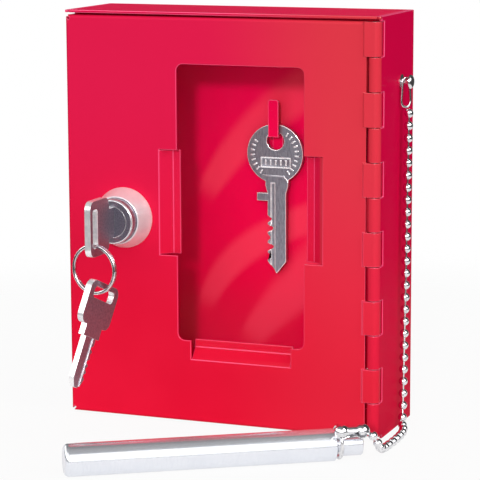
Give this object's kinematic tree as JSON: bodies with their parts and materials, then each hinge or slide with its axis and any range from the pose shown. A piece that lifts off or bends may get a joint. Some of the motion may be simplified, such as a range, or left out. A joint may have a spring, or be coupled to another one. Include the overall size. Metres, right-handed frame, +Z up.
{
  "type": "break glass key box",
  "caption": "Small folded steel wall box with a windowed, hinged and locking door, a key on a hook inside and a short hammer on a ball chain outside.",
  "frame": {"origin": "middle of the base, on the surface that the box stands on, halfway between the door's face and the back panel", "axes": "+X to the right of someone facing the door, -Y out of the door's face, +Z up"},
  "size_m": [0.1296, 0.123, 0.15],
  "materials": {
    "red_paint": "gloss",
    "clear_glass": "polished",
    "bright_chrome": "polished",
    "zinc_steel": "satin",
    "key_brass": "satin",
    "nickel_key": "satin",
    "hammer_aluminium": "satin"
  },
  "bodies": {
    "case": {"case_shell": "red_paint", "hinge_pin": "zinc_steel", "key_hook": "red_paint", "chain_stud": "bright_chrome", "chain_link": "bright_chrome", "hanging_chain": "bright_chrome"},
    "door": {"door_panel": "red_paint", "lock_rosette": "bright_chrome", "lock_housing": "bright_chrome", "lock_washer": "zinc_steel", "lock_nut": "zinc_steel"},
    "glass": {"glass_pane": "clear_glass"},
    "lock_core": {"lock_plug": "bright_chrome", "lock_wafers": "key_brass", "lock_cam": "zinc_steel", "cam_screw": "zinc_steel"},
    "door_key": {"lock_key": "nickel_key"},
    "ring": {"key_ring": "nickel_key"},
    "second_key": {"spare_key": "nickel_key"},
    "inner_key": {"emergency_key": "nickel_key"},
    "floor_chain": {"lying_chain": "bright_chrome"},
    "hammer": {"hammer_rod": "hammer_aluminium", "neck_ring": "bright_chrome", "chain_clasp": "bright_chrome"}
  },
  "joints": [
    {"name": "door_hinge", "type": "hinge", "parent": "case", "child": "door", "pos_m": [0.0577, -0.0185, 0.0748], "axis": [0, 0, 1], "range_deg": [0, 120]},
    {"name": "glass_slide", "type": "slide", "parent": "door", "child": "glass", "axis": [0, 0, 1], "range_m": [0, 0.008]},
    {"name": "lock_turn", "type": "hinge", "parent": "door", "child": "lock_core", "pos_m": [-0.0373, -0.02, 0.075], "axis": [0, 1, 0], "range_deg": [0, 90]},
    {"name": "key_slide", "type": "slide", "parent": "lock_core", "child": "door_key", "axis": [0, -1, 0], "range_m": [0, 0.02]},
    {"name": "ring_swing", "type": "hinge", "parent": "door_key", "child": "ring", "pos_m": [-0.0367, -0.04735, 0.069], "axis": [0.9903, -0.1392, 0], "range_deg": [-30, 15]},
    {"name": "spare_key_swing", "type": "hinge", "parent": "ring", "child": "second_key", "pos_m": [-0.03425, -0.04769, 0.05247], "axis": [0.947, -0.1331, 0.2924], "range_deg": [-30, 30]},
    {"name": "emergency_key_swing", "type": "hinge", "parent": "case", "child": "inner_key", "pos_m": [0.00815, 0.01645, 0.10073], "axis": [0, 1, 0], "range_deg": [-15, 15]},
    {"name": "hammer_swing", "type": "hinge", "parent": "case", "child": "floor_chain", "pos_m": [0.062, 0.0028, 0.00975], "axis": [0, 0, 1], "range_deg": [0, 120]},
    {"name": "hammer_lift", "type": "hinge", "parent": "floor_chain", "child": "hammer", "pos_m": [0.0637, -0.0493, 0.0116], "axis": [-0.5446, 0.8387, 0], "range_deg": [0, 45]}
  ],
  "couplings": [
    {"joint": "hammer_swing", "follows": "door_hinge", "ratio": 1}
  ]
}
